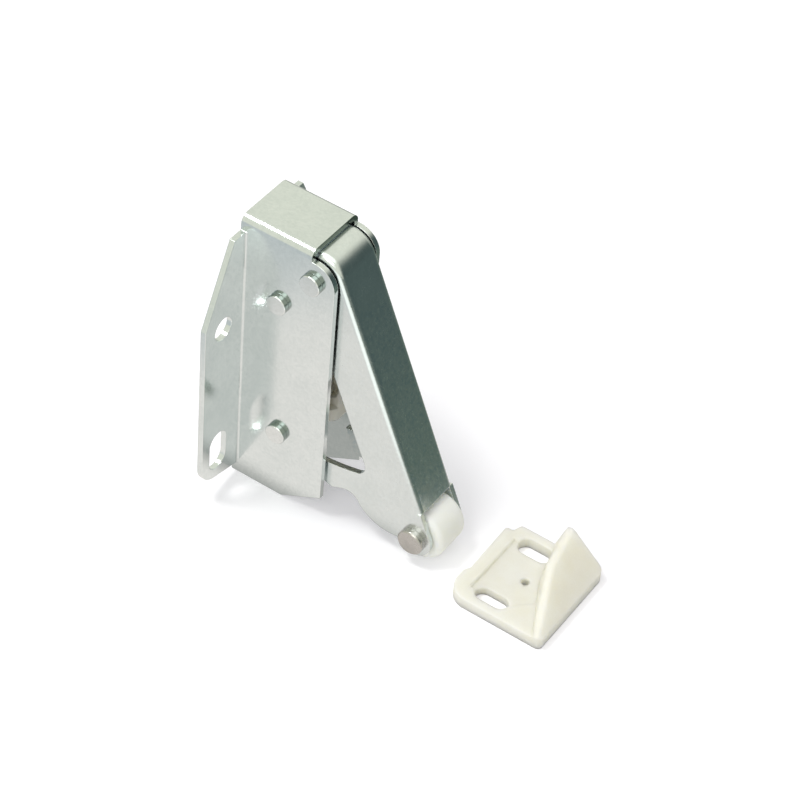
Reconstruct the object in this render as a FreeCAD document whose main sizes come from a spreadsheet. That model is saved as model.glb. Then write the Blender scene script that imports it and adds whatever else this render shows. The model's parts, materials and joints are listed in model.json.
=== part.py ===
import FreeCAD, Part
import Sketcher
import math
import os
import re

# Touch latch: a folded sheet housing, a sprung roller arm and its nylon strike. Millimetres, +Z up.
# X runs from the mounting face towards the arm, Y is across, and Y = 0 is the latch's plane of symmetry.
# The outlines are written from the foot of the housing. Each finished piece is then lowered by the
# height of the round screw holes, so the row's origin lies midway between those two holes.

doc = FreeCAD.newDocument("touch_latch")
size = doc.addObject("Spreadsheet::Sheet", "size")

SIZES = [
    # folded housing
    ("housing_height", 51.0),
    ("housing_width", 11.2),
    ("housing_sheet", 0.9),
    ("bridge_depth", 12.3),
    ("plate_depth", 16.4),
    ("plate_round", 3.75),
    ("foot_knee", 9.3),
    ("foot_lift", 3.75),
    ("housing_bend", 1.5),
    ("fold_inner", 0.4),
    ("fold_back", 0.8),
    # mounting flanges
    ("flange_reach", 8.9),
    ("flange_shoulder", 2.6),
    ("flange_drop", 2.5),
    ("flange_slant", 13.4),
    ("flange_round", 3.7),
    ("flange_corner", 6.8),
    ("flange_foot_slope", 13.0),
    ("hole_bore", 4.0),
    ("hole_reach", 4.65),
    ("hole_height", 33.1),
    ("slot_wide", 4.0),
    ("slot_long", 7.3),
    ("slot_reach", 5.1),
    ("slot_height", 8.45),
    # rivets
    ("rivet_head", 3.4),
    ("rivet_proud", 0.9),
    ("rivet_bevel", 0.12),
    ("rivet_tail", 2.2),
    ("rivet_seat", 0.02),
    ("upper_rivet_x", 7.15),
    ("upper_rivet_drop", 6.9),
    ("lower_rivet_x", 8.1),
    ("lower_rivet_z", 12.9),
    ("block_rivet", 2.6),
    ("pivot_rivet", 3.4),
    ("pivot_head", 3.5),
    # arm
    ("rest_angle", 24.1),
    ("arm_sheet", 0.9),
    ("arm_curl", 4.5),
    ("arm_bend", 1.1),
    ("curl_turn", 96.0),
    ("top_clear", 0.2),
    ("side_clear", 0.4),
    ("running_clear", 0.05),
    ("web_gap", 4.73),
    ("cheek_back", 3.3),
    ("cheek_end", 3.0),
    ("notch_clear", 0.75),
    ("notch_corner", 1.9),
    ("spur_back", 7.53),
    ("spur_reach", 12.6),
    ("spur_chamfer", 1.0),
    ("throat_reach", 7.2),
    ("throat_drop", 2.5),
    ("throat_round", 2.4),
    ("belly_round", 7.5),
    # roller and its pin
    ("roller_radius", 4.5),
    ("roller_set", 1.4),
    ("roller_play", 0.1),
    ("roller_edge", 0.9),
    ("pin_bore", 2.5),
    ("pin_head", 4.3),
    ("pin_proud", 1.1),
    ("pin_bevel", 0.2),
    ("pin_tail_head", 3.8),
    ("pin_tail_proud", 0.7),
    # nylon cam block
    ("block_wide", 5.8),
    ("block_back", 1.2),
    ("block_nose", 16.0),
    ("block_below", 3.3),
    ("block_foot_front", 11.4),
    ("block_chin", 4.2),
    ("nose_round", 2.0),
    ("block_nose_clear", 2.85),
    ("block_neck", 9.6),
    ("block_above", 2.9),
    ("block_round", 1.2),
    ("recess_deep", 1.5),
    ("recess_back", 9.4),
    ("recess_rim", 1.4),
    ("track_deep", 1.0),
    ("track_wide", 1.3),
    ("track_round", 1.4),
    ("track_clear", 0.3),
    ("heart_gap", 0.2),
    ("heart_high", 2.5),
    ("heart_back", 11.8),
    ("heart_front", 14.2),
    ("heart_lobe", 0.45),
    ("heart_cleft", 0.45),
    # follower
    ("follower_wire", 1.0),
    ("follower_side", 2.15),
    ("follower_down", 7.5),
    ("follower_back", 0.6),
    ("follower_pin", 1.6),
    ("follower_tip_x", 14.2),
    ("follower_hang", 16.2),
    ("follower_bend", 0.8),
    ("follower_gap", 0.2),
    # torsion spring
    ("spring_wire", 0.8),
    ("spring_gap", 0.1),
    ("spring_turns", 4.0),
    ("spring_pitch", 0.85),
    ("spring_leg", 11.0),
    ("spring_tail_x", 4.5),
    ("spring_kink_x", 8.6),
    ("spring_kink", 1.2),
    # strike
    ("strike_front", 57.3),
    ("strike_long", 16.6),
    ("strike_wide", 17.7),
    ("strike_side", 1.35),
    ("strike_base", 2.0),
    ("strike_heel", 3.2),
    ("strike_corner", 0.9),
    ("strike_soft", 0.5),
    ("back_step", 0.6),
    ("back_step_start", 5.9),
    ("back_step_run", 1.1),
    ("lobe_long", 2.1),
    ("lobe_deep", 1.65),
    ("dish_deep", 0.45),
    ("dish_back", 2.6),
    ("dish_reach", 12.6),
    ("dish_soft", 0.3),
    ("ramp_angle", 40.8),
    ("ramp_far_run", 5.9),
    ("ramp_shoulder_run", 4.75),
    ("ramp_mid_run", 3.2),
    ("ramp_near_run", 0.3),
    ("ramp_far_toe", 8.9),
    ("ramp_shoulder_toe", 6.6),
    ("ramp_mid_toe", 4.9),
    ("ramp_near_toe", 1.7),
    ("ramp_shoulder_share", 0.58),
    ("ramp_mid_share", 0.38),
    ("ramp_root", 1.2),
    ("ramp_round", 0.9),
    ("ramp_lean", 20.0),
    ("strike_slot_long", 5.6),
    ("strike_slot_wide", 2.9),
    ("strike_slot_spread", 11.9),
    ("strike_slot_back", 6.3),
    ("strike_pin_hole", 1.4),
    ("strike_pin_back", 8.4),
]

for row, (alias, number) in enumerate(SIZES, start=1):
    size.set("A%d" % row, alias)
    size.set("B%d" % row, str(number))
    size.setAlias("B%d" % row, alias)
doc.recompute()

# Places and sizes that follow from the driving dimensions.
DERIVED = {
    "half_width": "housing_width / 2",
    "flange_top": "(housing_height - flange_drop)",
    "flange_waist": "(flange_top - flange_slant)",
    "inner_half": "(half_width - housing_sheet)",
    "arm_half": "(inner_half - side_clear)",
    "arm_inner": "(arm_half - arm_sheet)",
    "pivot_x": "(plate_depth - plate_round)",
    "pivot_z": "(housing_height - housing_sheet - top_clear - arm_curl)",
    "web_inner": "(arm_curl - arm_sheet)",
    "roller_reach": "((pivot_z - roller_radius + roller_set * sin(rest_angle)) / cos(rest_angle))",
    "roller_x": "(pivot_x + roller_set * cos(rest_angle) + roller_reach * sin(rest_angle))",
    "follower_x": "(pivot_x - follower_back * cos(rest_angle) + follower_down * sin(rest_angle))",
    "follower_z": "(pivot_z - follower_back * sin(rest_angle) - follower_down * cos(rest_angle))",
    "upper_rivet_z": "(pivot_z - upper_rivet_drop)",
    "rivet_far": "sqrt((pivot_x - lower_rivet_x) ^ 2 + (pivot_z - lower_rivet_z) ^ 2)",
    "notch_radius": "(rivet_far + block_rivet / 2 + notch_clear)",
    "spur_edge": "(roller_reach - spur_back)",
    "web_end": "(roller_reach - web_gap)",
    "block_half": "(block_wide / 2)",
    "block_foot": "(lower_rivet_z - block_below)",
    "block_nose_foot": "(lower_rivet_z + block_chin)",
    "block_nose_top": "(follower_z - follower_pin / 2 - follower_wire - block_nose_clear)",
    "block_top": "(upper_rivet_z + block_above)",
    "follower_tip_z": "(follower_z - follower_hang)",
    "tip_drop": "(follower_z - pivot_z + sqrt(follower_back ^ 2 + follower_down ^ 2))",
    "track_foot": "(follower_tip_z - tip_drop - follower_wire / 2 - track_clear)",
    "heart_foot": "(follower_tip_z + follower_wire / 2 + heart_gap)",
    "heart_top": "(heart_foot + heart_high)",
    "track_top": "(heart_top + track_wide)",
    "track_back": "(heart_back - track_wide)",
    "track_front": "(heart_front + track_wide)",
    "recess_foot": "(track_foot - recess_rim)",
    "foot_bend_y": "(half_width + flange_reach - flange_round + flange_round * sin(flange_foot_slope))",
    "foot_bend_z": "(flange_corner - flange_round * cos(flange_foot_slope))",
    "flange_root": "(inner_half + housing_sheet / 2)",
    "flange_root_z": "(foot_bend_z - (foot_bend_y - flange_root) * tan(flange_foot_slope))",
    "spring_mean": "(pivot_rivet / 2 + spring_gap + spring_wire / 2)",
    "strike_back": "(strike_front - strike_long)",
    "ramp_mid_y": "(strike_near + ramp_mid_share * strike_wide)",
    "ramp_shoulder_y": "(strike_near + ramp_shoulder_share * strike_wide)",
    "slot_x": "(strike_back + strike_slot_back)",
    "strike_far": "(strike_side + strike_wide / 2)",
    "strike_near": "(strike_side - strike_wide / 2)",
}
ALIASES = {alias for alias, number in SIZES}
WORD = re.compile(r"[a-z]+(?:_[a-z]+)*")


def full(text):
    """Write a size or a sum of sizes as an expression on the sheet."""
    def swap(match):
        word = match.group(0)
        if word in DERIVED:
            return "(" + full(DERIVED[word]) + ")"
        if word in ALIASES:
            return "size." + word
        return word
    return WORD.sub(swap, str(text))


def value(text):
    """The number that a size or a sum of sizes has now."""
    number = size.evalExpression(full(text))
    return float(getattr(number, "Value", number))


def bind(feature, name, text):
    feature.setExpression(name, full(text))


def new_body(label, x="0", z="0"):
    """A body that stands at X, Z above the foot, lowered to the row's origin."""
    body = doc.addObject("PartDesign::Body", label)
    body.Label = label
    bind(body, "Placement.Base.x", x)
    bind(body, "Placement.Base.z", "%s - hole_height" % z)
    return body


def sketch_on(body, name, role, offset="0"):
    """An empty sketch on one of the body's own origin planes, set off along its normal."""
    sketch = body.newObject("Sketcher::SketchObject", name)
    plane = [feature for feature in body.Origin.OriginFeatures if feature.Role == role][0]
    sketch.AttachmentSupport = [(plane, "")]
    sketch.MapMode = "FlatFace"
    bind(sketch, "AttachmentOffset.Base.z", offset)
    return sketch


def dimension(sketch, kind, parts, text):
    """One driving constraint, bound to the sheet."""
    name = "c%d" % sketch.ConstraintCount
    index = sketch.addConstraint(Sketcher.Constraint(kind, *parts, value(text)))
    sketch.renameConstraint(index, name)
    sketch.setExpression("Constraints." + name, full(text))


def pin_down(sketch, geometry, point, x, y):
    """Fix one point of a sketch at the coordinates x, y."""
    for kind, text in (("DistanceX", x), ("DistanceY", y)):
        dimension(sketch, kind, (-1, 1, geometry, point), text)


def circle(sketch, x, y, radius):
    centre = FreeCAD.Vector(value(x), value(y), 0)
    geometry = sketch.addGeometry(Part.Circle(centre, FreeCAD.Vector(0, 0, 1), value(radius)))
    pin_down(sketch, geometry, 3, x, y)
    dimension(sketch, "Radius", (geometry,), radius)


def outline(sketch, corners, closed=True):
    """An outline or a path. A corner is (x, y), or (x, y, turn, radius) where an arc leads to the next one."""
    count = len(corners)
    points = [FreeCAD.Vector(value(c[0]), value(c[1]), 0) for c in corners]
    runs = corners if closed else corners[:-1]
    starts = []
    for i, corner in enumerate(runs):
        first, last = points[i], points[(i + 1) % count]
        if len(corner) == 2:
            geometry = sketch.addGeometry(Part.LineSegment(first, last))
            starts.append((geometry, 1, 2))
            continue
        turn, radius = corner[2], value(corner[3])
        chord = last - first
        side = FreeCAD.Vector(chord.y, -chord.x, 0) if turn == "ccw" else FreeCAD.Vector(-chord.y, chord.x, 0)
        side.normalize()
        rise = radius - math.sqrt(radius ** 2 - (chord.Length / 2) ** 2)
        middle = (first + last) * 0.5 + side * rise
        if turn == "ccw":
            geometry = sketch.addGeometry(Part.Arc(first, middle, last))
            starts.append((geometry, 1, 2))
        else:
            geometry = sketch.addGeometry(Part.Arc(last, middle, first))
            starts.append((geometry, 2, 1))
    for i, corner in enumerate(runs):
        geometry, start, end = starts[i]
        if closed or i + 1 < len(runs):
            following = starts[(i + 1) % count]
            sketch.addConstraint(Sketcher.Constraint("Coincident", geometry, end, following[0], following[1]))
        else:
            pin_down(sketch, geometry, end, corners[-1][0], corners[-1][1])
        pin_down(sketch, geometry, start, corner[0], corner[1])
        if len(corner) == 4:
            dimension(sketch, "Radius", (geometry,), corner[3])


def slot(sketch, x, y, along, wide):
    """A round-ended slot that runs along the sketch's first axis."""
    run = "(%s - %s) / 2" % (along, wide)
    low = "%s - %s / 2" % (y, wide)
    high = "%s + %s / 2" % (y, wide)
    outline(sketch, [
        ("%s - %s" % (x, run), low),
        ("%s + %s" % (x, run), low, "ccw", wide + " / 2"),
        ("%s + %s + %s / 2" % (x, run, wide), y, "ccw", wide + " / 2"),
        ("%s + %s" % (x, run), high),
        ("%s - %s" % (x, run), high, "ccw", wide + " / 2"),
        ("%s - %s - %s / 2" % (x, run, wide), y, "ccw", wide + " / 2"),
    ])


def pad(body, name, sketch, length, both=True, back=False):
    feature = body.newObject("PartDesign::Pad", name)
    feature.Profile = sketch
    feature.SideType = "Symmetric" if both else "One side"
    feature.Reversed = back
    bind(feature, "Length", length)
    return feature


def pocket(body, name, sketch, length, both=True, back=False):
    """Cut a sketch out of the body, and make sure that it took something away."""
    doc.recompute()
    before = body.Shape.Volume
    feature = body.newObject("PartDesign::Pocket", name)
    feature.Profile = sketch
    feature.SideType = "Symmetric" if both else "One side"
    feature.Reversed = back
    bind(feature, "Length", length)
    doc.recompute()
    if body.Shape.Volume >= before:
        raise RuntimeError("%s cuts nothing" % name)
    return feature


def round_edges(body, name, radius, test):
    """Round every edge of the body so far whose two ends and middle all pass the test."""
    doc.recompute()
    base = body.Tip
    chosen = []
    for index, edge in enumerate(base.Shape.Edges, start=1):
        middle = edge.valueAt((edge.FirstParameter + edge.LastParameter) / 2)
        if all(test(point) for point in [middle] + [vertex.Point for vertex in edge.Vertexes]):
            chosen.append("Edge%d" % index)
    if not chosen:
        raise RuntimeError("%s finds no edge" % name)
    feature = body.newObject("PartDesign::Fillet", name)
    feature.Base = (base, chosen)
    bind(feature, "Radius", radius)
    doc.recompute()
    return feature


def near(a, b):
    return abs(a - b) < 1e-4


def turned(label, x, z, profile):
    """A piece turned about an axis along Y. The profile is a list of (radius, y) corners."""
    body = new_body(label, x, z)
    sketch = sketch_on(body, label + "_profile", "XY_Plane")
    outline(sketch, profile)
    feature = body.newObject("PartDesign::Revolution", label + "_turn")
    feature.Profile = sketch
    feature.ReferenceAxis = (sketch, ["V_Axis"])
    feature.Angle = 360
    return body


def build_housing():
    """One sheet folded into a bridge, two side plates and two mounting flanges."""
    body = new_body("housing")
    side = sketch_on(body, "plate_outline", "XZ_Plane")
    shoulder = "pivot_z + plate_round"
    outline(side, [
        ("0", "0"),
        ("foot_knee", "0"),
        ("plate_depth", "foot_lift"),
        ("plate_depth", "pivot_z", "ccw", "plate_round"),
        ("pivot_x", shoulder),
        ("bridge_depth", shoulder),
        ("bridge_depth", "housing_height"),
        ("0", "housing_height"),
    ])
    pad(body, "plates", side, "housing_width")
    inside = sketch_on(body, "channel_outline", "YZ_Plane")
    outline(inside, [
        ("-inner_half", "-housing_sheet"),
        ("inner_half", "-housing_sheet"),
        ("inner_half", "housing_height - housing_sheet"),
        ("-inner_half", "housing_height - housing_sheet"),
    ])
    pocket(body, "channel", inside, "plate_depth * 3")
    wings = sketch_on(body, "flange_outline", "YZ_Plane")
    for sign, turn in (("-", "cw"), ("", "ccw")):
        outline(wings, [
            (sign + "flange_root", "flange_root_z"),
            (sign + "foot_bend_y", "foot_bend_z", turn, "flange_round"),
            (sign + "(half_width + flange_reach)", "flange_corner"),
            (sign + "(half_width + flange_reach)", "flange_waist"),
            (sign + "(half_width + flange_shoulder)", "flange_top"),
            (sign + "flange_root", "flange_top"),
        ])
    pad(body, "flanges", wings, "housing_sheet", both=False)
    holes = sketch_on(body, "screw_holes", "YZ_Plane")
    run = "(slot_long - slot_wide) / 2"
    for sign in ("-", ""):
        circle(holes, sign + "(half_width + hole_reach)", "hole_height", "hole_bore / 2")
        left = "%s(half_width + slot_reach) - slot_wide / 2" % sign
        right = "%s(half_width + slot_reach) + slot_wide / 2" % sign
        low = "slot_height - " + run
        high = "slot_height + " + run
        middle = "%s(half_width + slot_reach)" % sign
        outline(holes, [
            (left, high),
            (left, low, "ccw", "slot_wide / 2"),
            (middle, low + " - slot_wide / 2", "ccw", "slot_wide / 2"),
            (right, low),
            (right, high, "ccw", "slot_wide / 2"),
            (middle, high + " + slot_wide / 2", "ccw", "slot_wide / 2"),
        ])
    pocket(body, "screw_hole_cut", holes, "housing_sheet * 4")
    bores = sketch_on(body, "rivet_bores", "XZ_Plane")
    for x, z in (("pivot_x", "pivot_z"), ("upper_rivet_x", "upper_rivet_z"), ("lower_rivet_x", "lower_rivet_z")):
        circle(bores, x, z, "rivet_tail / 2 + rivet_seat")
    pocket(body, "rivet_bore_cut", bores, "housing_width * 2")
    half, sheet, height = value("half_width"), value("housing_sheet"), value("housing_height")
    inner = value("inner_half")
    round_edges(body, "bridge_bend", "housing_bend",
                lambda p: near(abs(p.y), half) and near(p.z, height))
    round_edges(body, "bridge_inner_bend", "housing_bend - housing_sheet",
                lambda p: near(abs(p.y), inner) and near(p.z, height - sheet))
    round_edges(body, "fold_inner_bend", "fold_inner",
                lambda p: near(abs(p.y), half) and near(p.x, sheet))
    round_edges(body, "fold_back_bend", "fold_back",
                lambda p: near(abs(p.y), inner) and near(p.x, 0))
    return body


def build_arm():
    """The roller arm: one sheet pressed into a channel whose web curls over the pivot."""
    body = new_body("arm", "pivot_x", "pivot_z")
    body.setExpression("Placement", full(
        "placement(vector(pivot_x; 0; pivot_z - hole_height); rotation(vector(0; 1; 0); -rest_angle))"))
    cheek = sketch_on(body, "cheek_outline", "XZ_Plane")
    outline(cheek, [
        ("arm_curl", "0"),
        ("arm_curl", "-web_end"),
        ("roller_set", "-web_end"),
        ("roller_set", "-roller_reach - cheek_end", "cw", "cheek_end"),
        ("roller_set - cheek_end", "-roller_reach", "cw", "belly_round"),
        ("-throat_reach", "-spur_edge - throat_drop", "ccw", "throat_round"),
        ("-throat_reach - throat_drop", "-spur_edge"),
        ("-spur_reach + spur_chamfer", "-spur_edge"),
        ("-spur_reach", "-spur_edge + spur_chamfer"),
        ("-spur_reach", "-sqrt(notch_radius ^ 2 - spur_reach ^ 2)", "ccw", "notch_radius"),
        ("-cheek_back - notch_corner", "-sqrt(notch_radius ^ 2 - (cheek_back + notch_corner) ^ 2)",
         "ccw", "notch_corner"),
        ("-cheek_back", "-sqrt(notch_radius ^ 2 - (cheek_back + notch_corner) ^ 2) + notch_corner"),
        ("-cheek_back", "sqrt(arm_curl ^ 2 - cheek_back ^ 2)", "cw", "arm_curl"),
    ])
    pad(body, "cheeks", cheek, "arm_half * 2")
    half, curl = value("arm_half"), value("arm_curl")
    round_edges(body, "web_bend", "arm_bend",
                lambda p: near(abs(p.y), half)
                and ((near(p.x, curl) and p.z < 1e-6) or near(math.hypot(p.x, p.z), curl)))
    # below the web's end the cheeks are plain sheet, with no bend
    tips = sketch_on(body, "cheek_tips_outline", "XZ_Plane")
    outline(tips, [
        ("0", "-web_end"),
        ("roller_set + cheek_end", "-web_end"),
        ("roller_set + cheek_end", "-roller_reach", "cw", "cheek_end"),
        ("roller_set", "-roller_reach - cheek_end"),
        ("0", "-roller_reach"),
    ])
    pad(body, "cheek_tips", tips, "arm_half * 2")
    hollow = sketch_on(body, "channel_outline", "XZ_Plane")
    outline(hollow, [
        ("web_inner", "-web_end"),
        ("web_inner", "0", "ccw", "web_inner"),
        ("web_inner * cos(curl_turn)", "web_inner * sin(curl_turn)"),
        ("arm_curl * 2 * cos(curl_turn)", "arm_curl * 2 * sin(curl_turn)"),
        ("-spur_reach * 2", "arm_curl * 2"),
        ("-spur_reach * 2", "-roller_reach * 2"),
        ("arm_curl * 2", "-roller_reach * 2"),
        ("arm_curl * 2", "-web_end"),
    ])
    pocket(body, "channel", hollow, "arm_inner * 2")
    bores = sketch_on(body, "pin_bores", "XZ_Plane")
    circle(bores, "0", "0", "pivot_rivet / 2 + running_clear")
    circle(bores, "roller_set", "-roller_reach", "pin_bore / 2 + rivet_seat")
    circle(bores, "-follower_back", "-follower_down", "follower_pin / 2 + rivet_seat")
    pocket(body, "pin_bore_cut", bores, "arm_half * 3")
    return body


def build_rivet(label, x, z, shoulder, head):
    """A shouldered rivet: the shoulder spans the plates, the tails pass them, the heads hold them."""
    seat = "inner_half - rivet_seat"
    outer = "half_width + rivet_seat"
    top = "half_width + rivet_proud"
    right = [
        ("0", "-(%s)" % top),
        ("%s / 2 - rivet_bevel" % head, "-(%s)" % top),
        ("%s / 2" % head, "-(%s - rivet_bevel)" % top),
        ("%s / 2" % head, "-(%s)" % outer),
        ("rivet_tail / 2", "-(%s)" % outer),
        ("rivet_tail / 2", "-(%s)" % seat),
        ("%s / 2" % shoulder, "-(%s)" % seat),
    ]
    mirrored = [(r, y[1:]) for r, y in reversed(right)]
    return turned(label, x, z, right + mirrored)


def build_roller_pin():
    """The roller's pin, headed on the near cheek and peened over on the far one."""
    head = "arm_half + rivet_seat"
    profile = [
        ("0", "-(arm_half + pin_proud)"),
        ("pin_head / 2 - pin_bevel", "-(arm_half + pin_proud)"),
        ("pin_head / 2", "-(arm_half + pin_proud - pin_bevel)"),
        ("pin_head / 2", "-(%s)" % head),
        ("pin_bore / 2", "-(%s)" % head),
        ("pin_bore / 2", head),
        ("pin_tail_head / 2", head),
        ("pin_tail_head / 2", "arm_half + pin_tail_proud - rivet_bevel"),
        ("pin_tail_head / 2 - rivet_bevel", "arm_half + pin_tail_proud"),
        ("0", "arm_half + pin_tail_proud"),
    ]
    return turned("roller_pin", "roller_x", "roller_radius", profile)


def build_roller():
    """The nylon roller, with rounded rims and a running bore."""
    end = "arm_inner - roller_play"
    bore = "pin_bore / 2 + running_clear"
    profile = [
        (bore, "-(%s)" % end),
        ("roller_radius - roller_edge", "-(%s)" % end, "ccw", "roller_edge"),
        ("roller_radius", "-(%s - roller_edge)" % end),
        ("roller_radius", "%s - roller_edge" % end, "ccw", "roller_edge"),
        ("roller_radius - roller_edge", end),
        (bore, end),
    ]
    return turned("roller", "roller_x", "roller_radius", profile)


def build_follower_pin():
    """The plain pin that carries the follower, flush with both cheeks."""
    profile = [
        ("0", "-arm_half"),
        ("follower_pin / 2", "-arm_half"),
        ("follower_pin / 2", "arm_half"),
        ("0", "arm_half"),
    ]
    return turned("follower_pin", "follower_x", "follower_z", profile)


def build_cam_block():
    """The nylon block between the plates, with the heart track for the follower in one side."""
    body = new_body("cam_block")
    shape = sketch_on(body, "block_outline", "XZ_Plane")
    outline(shape, [
        ("block_back", "block_foot"),
        ("block_foot_front", "block_foot"),
        ("block_foot_front", "block_nose_foot"),
        ("block_nose", "block_nose_foot"),
        ("block_nose", "block_nose_top"),
        ("block_neck", "block_nose_top"),
        ("block_neck", "block_top"),
        ("block_back", "block_top"),
    ])
    pad(body, "block", shape, "block_wide")
    nose, half = value("block_nose"), value("block_half")
    round_edges(body, "nose_round", "nose_round", lambda p: near(p.x, nose) and near(abs(p.y), half))
    corners = [(value(x), value(z)) for x, z in (
        ("block_back", "block_foot"), ("block_foot_front", "block_foot"),
        ("block_neck", "block_top"), ("block_back", "block_top"))]
    round_edges(body, "block_corners", "block_round",
                lambda p: any(near(p.x, x) and near(p.z, z) for x, z in corners))
    side = sketch_on(body, "recess_outline", "XZ_Plane", "block_half")
    outline(side, [
        ("recess_back", "recess_foot"),
        ("block_nose * 2", "recess_foot"),
        ("block_nose * 2", "block_nose_top"),
        ("recess_back", "block_nose_top"),
    ])
    pocket(body, "recess", side, "recess_deep", both=False)
    track = sketch_on(body, "track_outline", "XZ_Plane", "block_half - recess_deep")
    loop = [
        ("track_back + track_round", "track_foot"),
        ("track_front - track_round", "track_foot", "ccw", "track_round"),
        ("track_front", "track_foot + track_round"),
        ("track_front", "track_top - track_round", "ccw", "track_round"),
        ("track_front - track_round", "track_top"),
        ("track_back + track_round", "track_top", "ccw", "track_round"),
        ("track_back", "track_top - track_round"),
        ("track_back", "track_foot + track_round", "ccw", "track_round"),
    ]
    outline(track, loop)
    # the heart: its point faces the arm, and the cleft that catches the follower faces the back
    middle = "(heart_foot + heart_top) / 2"
    outline(track, [
        ("heart_front", middle),
        ("heart_back + heart_lobe", "heart_top", "ccw", "heart_lobe"),
        ("heart_back", "heart_top - heart_lobe"),
        ("heart_back", middle + " + heart_cleft", "cw", "heart_cleft"),
        ("heart_back + heart_cleft", middle, "cw", "heart_cleft"),
        ("heart_back", middle + " - heart_cleft"),
        ("heart_back", "heart_foot + heart_lobe", "ccw", "heart_lobe"),
        ("heart_back + heart_lobe", "heart_foot"),
    ])
    pocket(body, "track", track, "track_deep", both=False)
    bores = sketch_on(body, "rivet_bores", "XZ_Plane")
    for x, z in (("upper_rivet_x", "upper_rivet_z"), ("lower_rivet_x", "lower_rivet_z")):
        circle(bores, x, z, "block_rivet / 2 + running_clear")
    pocket(body, "rivet_bore_cut", bores, "block_wide * 2")
    return body


def build_follower():
    """The bent wire that hangs from its pin, with its tip turned into the block's track."""
    body = new_body("follower")
    lean = "atan((follower_x - follower_tip_x) / (follower_z - follower_tip_z))"
    body.setExpression("Placement", full(
        "placement(vector(follower_x; 0; follower_z - hole_height); rotation(vector(0; 1; 0); %s))" % lean))
    ring = "(follower_pin / 2 + running_clear + follower_wire / 2)"
    eye = sketch_on(body, "eye_profile", "XY_Plane")
    circle(eye, ring, "-follower_side", "follower_wire / 2")
    loop = body.newObject("PartDesign::Revolution", "eye")
    loop.Profile = eye
    loop.ReferenceAxis = (eye, ["V_Axis"])
    loop.Angle = 360
    length = "((follower_z - follower_tip_z) / cos(%s))" % lean
    path = sketch_on(body, "stem_path", "YZ_Plane")
    outline(path, [
        ("-follower_side", "-" + ring),
        ("-follower_side", "-%s + follower_bend" % length, "ccw", "follower_bend"),
        ("-follower_side + follower_bend", "-" + length),
        ("-block_half + recess_deep + track_deep - follower_gap", "-" + length),
    ], closed=False)
    section = sketch_on(body, "stem_section", "XY_Plane", "-" + ring)
    circle(section, "0", "-follower_side", "follower_wire / 2")
    stem = body.newObject("PartDesign::AdditivePipe", "stem")
    stem.Profile = section
    stem.Spine = (path, ["Edge1", "Edge2", "Edge3"])
    return body


def build_spring():
    """The torsion spring: a coil on the pivot, one leg under the bridge and one against the web."""
    mean, radius, pitch = value("spring_mean"), value("spring_wire") / 2, value("spring_pitch")
    pivot = FreeCAD.Vector(value("pivot_x"), 0, value("pivot_z"))
    climb = pitch / (2 * math.pi * mean)
    # the end of the lower leg, close to the inner face of the web
    foot_x = value("web_inner - spring_wire / 2 - spring_gap")
    foot = math.hypot(foot_x, value("spring_leg"))
    foot_angle = math.atan2(-value("spring_leg"), foot_x)
    leave = foot_angle + math.acos(mean / foot) + math.radians(value("rest_angle"))
    sweep = 2 * math.pi * value("spring_turns") + math.pi / 2 - leave
    span = sweep / (2 * math.pi) * pitch
    side = -span / 2
    # the helix climbs from the top of the coil along +Y and turns towards the arm
    coil = Part.makeHelix(pitch, span, mean)
    coil.Placement = FreeCAD.Placement(FreeCAD.Matrix(
        0, 1, 0, pivot.x, 0, 0, 1, side, 1, 0, 0, pivot.z, 0, 0, 0, 1))
    top = FreeCAD.Vector(pivot.x, side, pivot.z + mean)
    bottom = FreeCAD.Vector(pivot.x + mean * math.cos(leave), span / 2, pivot.z + mean * math.sin(leave))
    lower_leg = FreeCAD.Vector(math.sin(leave), climb, -math.cos(leave))
    lower_leg = lower_leg * math.sqrt(foot ** 2 - mean ** 2)
    run = value("pivot_x - spring_kink_x")
    kink = top - FreeCAD.Vector(run, run * climb, 0)
    rise = value("housing_height - housing_sheet - rivet_seat") - radius - kink.z
    tail = kink + FreeCAD.Vector(value("spring_tail_x - spring_kink_x"), 0, rise)
    towards_top = (top - kink).normalize()
    towards_tail = (tail - kink).normalize()
    half = (math.pi - towards_top.getAngle(towards_tail)) / 2
    reach = value("spring_kink") * math.tan(half)
    inwards = (towards_top + towards_tail).normalize()
    middle = kink + inwards * (value("spring_kink") / math.cos(half) - value("spring_kink"))
    first = kink + towards_tail * reach
    last = kink + towards_top * reach
    path = [
        Part.LineSegment(tail, first).toShape(),
        Part.Arc(first, middle, last).toShape(),
        Part.LineSegment(last, top).toShape(),
    ]
    path += coil.Edges
    path.append(Part.LineSegment(bottom, bottom + lower_leg).toShape())
    section = Part.Wire(Part.Circle(tail, first - tail, radius).toShape())
    feature = doc.addObject("Part::Feature", "torsion_spring")
    feature.Label = "torsion_spring"
    feature.Shape = Part.Wire(path).makePipeShell([section], True, True)
    feature.Placement.Base.z = -value("hole_height")
    return feature


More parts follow.
